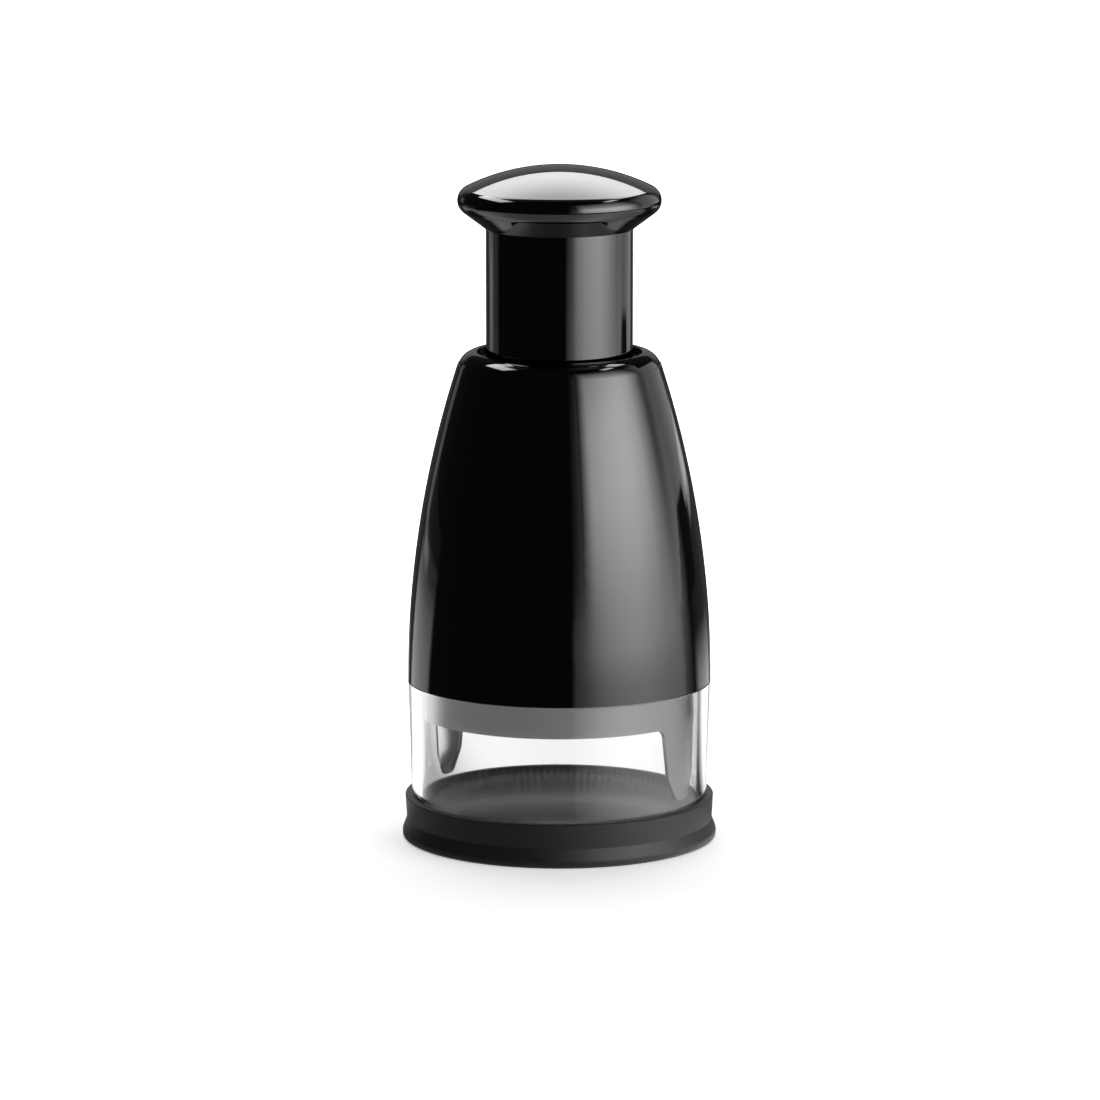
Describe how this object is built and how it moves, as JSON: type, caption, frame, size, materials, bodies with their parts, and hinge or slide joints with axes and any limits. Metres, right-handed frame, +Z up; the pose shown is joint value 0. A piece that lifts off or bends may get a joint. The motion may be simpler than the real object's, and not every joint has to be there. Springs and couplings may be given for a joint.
{
  "type": "hand-pressed food chopper",
  "caption": "Hand-pressed mini chopper: pushing the domed knob drives a turning zigzag blade through a stripper plate into a clear cup.",
  "frame": {"origin": "middle of the rubber base's underside, on the table", "axes": "+Z up along the plunger's axis, +X to the right in the picture, and the picture's camera on the -Y side"},
  "size_m": [0.1042, 0.1042, 0.2238],
  "materials": {
    "gloss_black": "high-gloss black ABS",
    "clear_plastic": "clear polished plastic",
    "black_rubber": "satin black rubber",
    "satin_steel": "fine brushed stainless steel",
    "blade_steel": "ground stainless steel",
    "spring_steel": "bright stainless spring wire",
    "screw_steel": "zinc-plated steel",
    "black_plastic": "moulded black plastic",
    "white_acetal": "natural white acetal",
    "brass": "turned brass"
  },
  "bodies": {
    "cup_base": {"clear_cup": "clear_plastic", "rubber_base": "black_rubber"},
    "housing": {"housing_shell": "gloss_black", "neck_ring": "gloss_black", "guide_bush": "white_acetal", "guide_column": "black_plastic", "column_screws": "screw_steel", "spring_washer": "blade_steel", "return_spring": "spring_steel", "twist_nut": "white_acetal", "nut_retainer": "blade_steel", "bumper_ring": "black_rubber", "guard_carrier": "black_plastic", "blade_guard": "satin_steel", "guard_rivets": "satin_steel", "wiper_retainer": "blade_steel"},
    "wiper": {"wiper_plate": "black_plastic"},
    "plunger": {"knob_cap": "gloss_black", "knob_base": "gloss_black", "plunger_tube": "gloss_black", "bearing_cap": "black_plastic", "shaft_bush": "brass", "knob_screws": "screw_steel", "stop_washer": "black_rubber"},
    "rotor": {"drive_shaft": "blade_steel", "shaft_washer": "blade_steel", "shaft_clip": "blade_steel", "blade_hub": "black_plastic", "blade_plate": "blade_steel", "chopper_blade": "blade_steel", "hub_screw": "blade_steel"}
  },
  "joints": [
    {"name": "housing_lift", "type": "slide", "parent": "cup_base", "child": "housing", "axis": [0, 0, 1], "range_m": [0, 0.065]},
    {"name": "press", "type": "slide", "parent": "housing", "child": "plunger", "axis": [0, 0, -1], "range_m": [0, 0.039], "stiffness_N_per_m": 500, "springref_m": -0.02, "deforming": ["return_spring"]},
    {"name": "rotor_turn", "type": "hinge", "parent": "plunger", "child": "rotor", "pos_m": [0, 0, 0.09], "axis": [0, 0, 1], "range_deg": [-36, 0]},
    {"name": "wiper_turn", "type": "hinge", "parent": "housing", "child": "wiper", "pos_m": [0, 0, 0.0457], "axis": [0, 0, 1], "range_deg": [-36, 0]}
  ],
  "couplings": [
    {"joint": "rotor_turn", "follows": "press", "rad_per_m": -16.11},
    {"joint": "wiper_turn", "follows": "press", "rad_per_m": -16.11}
  ]
}
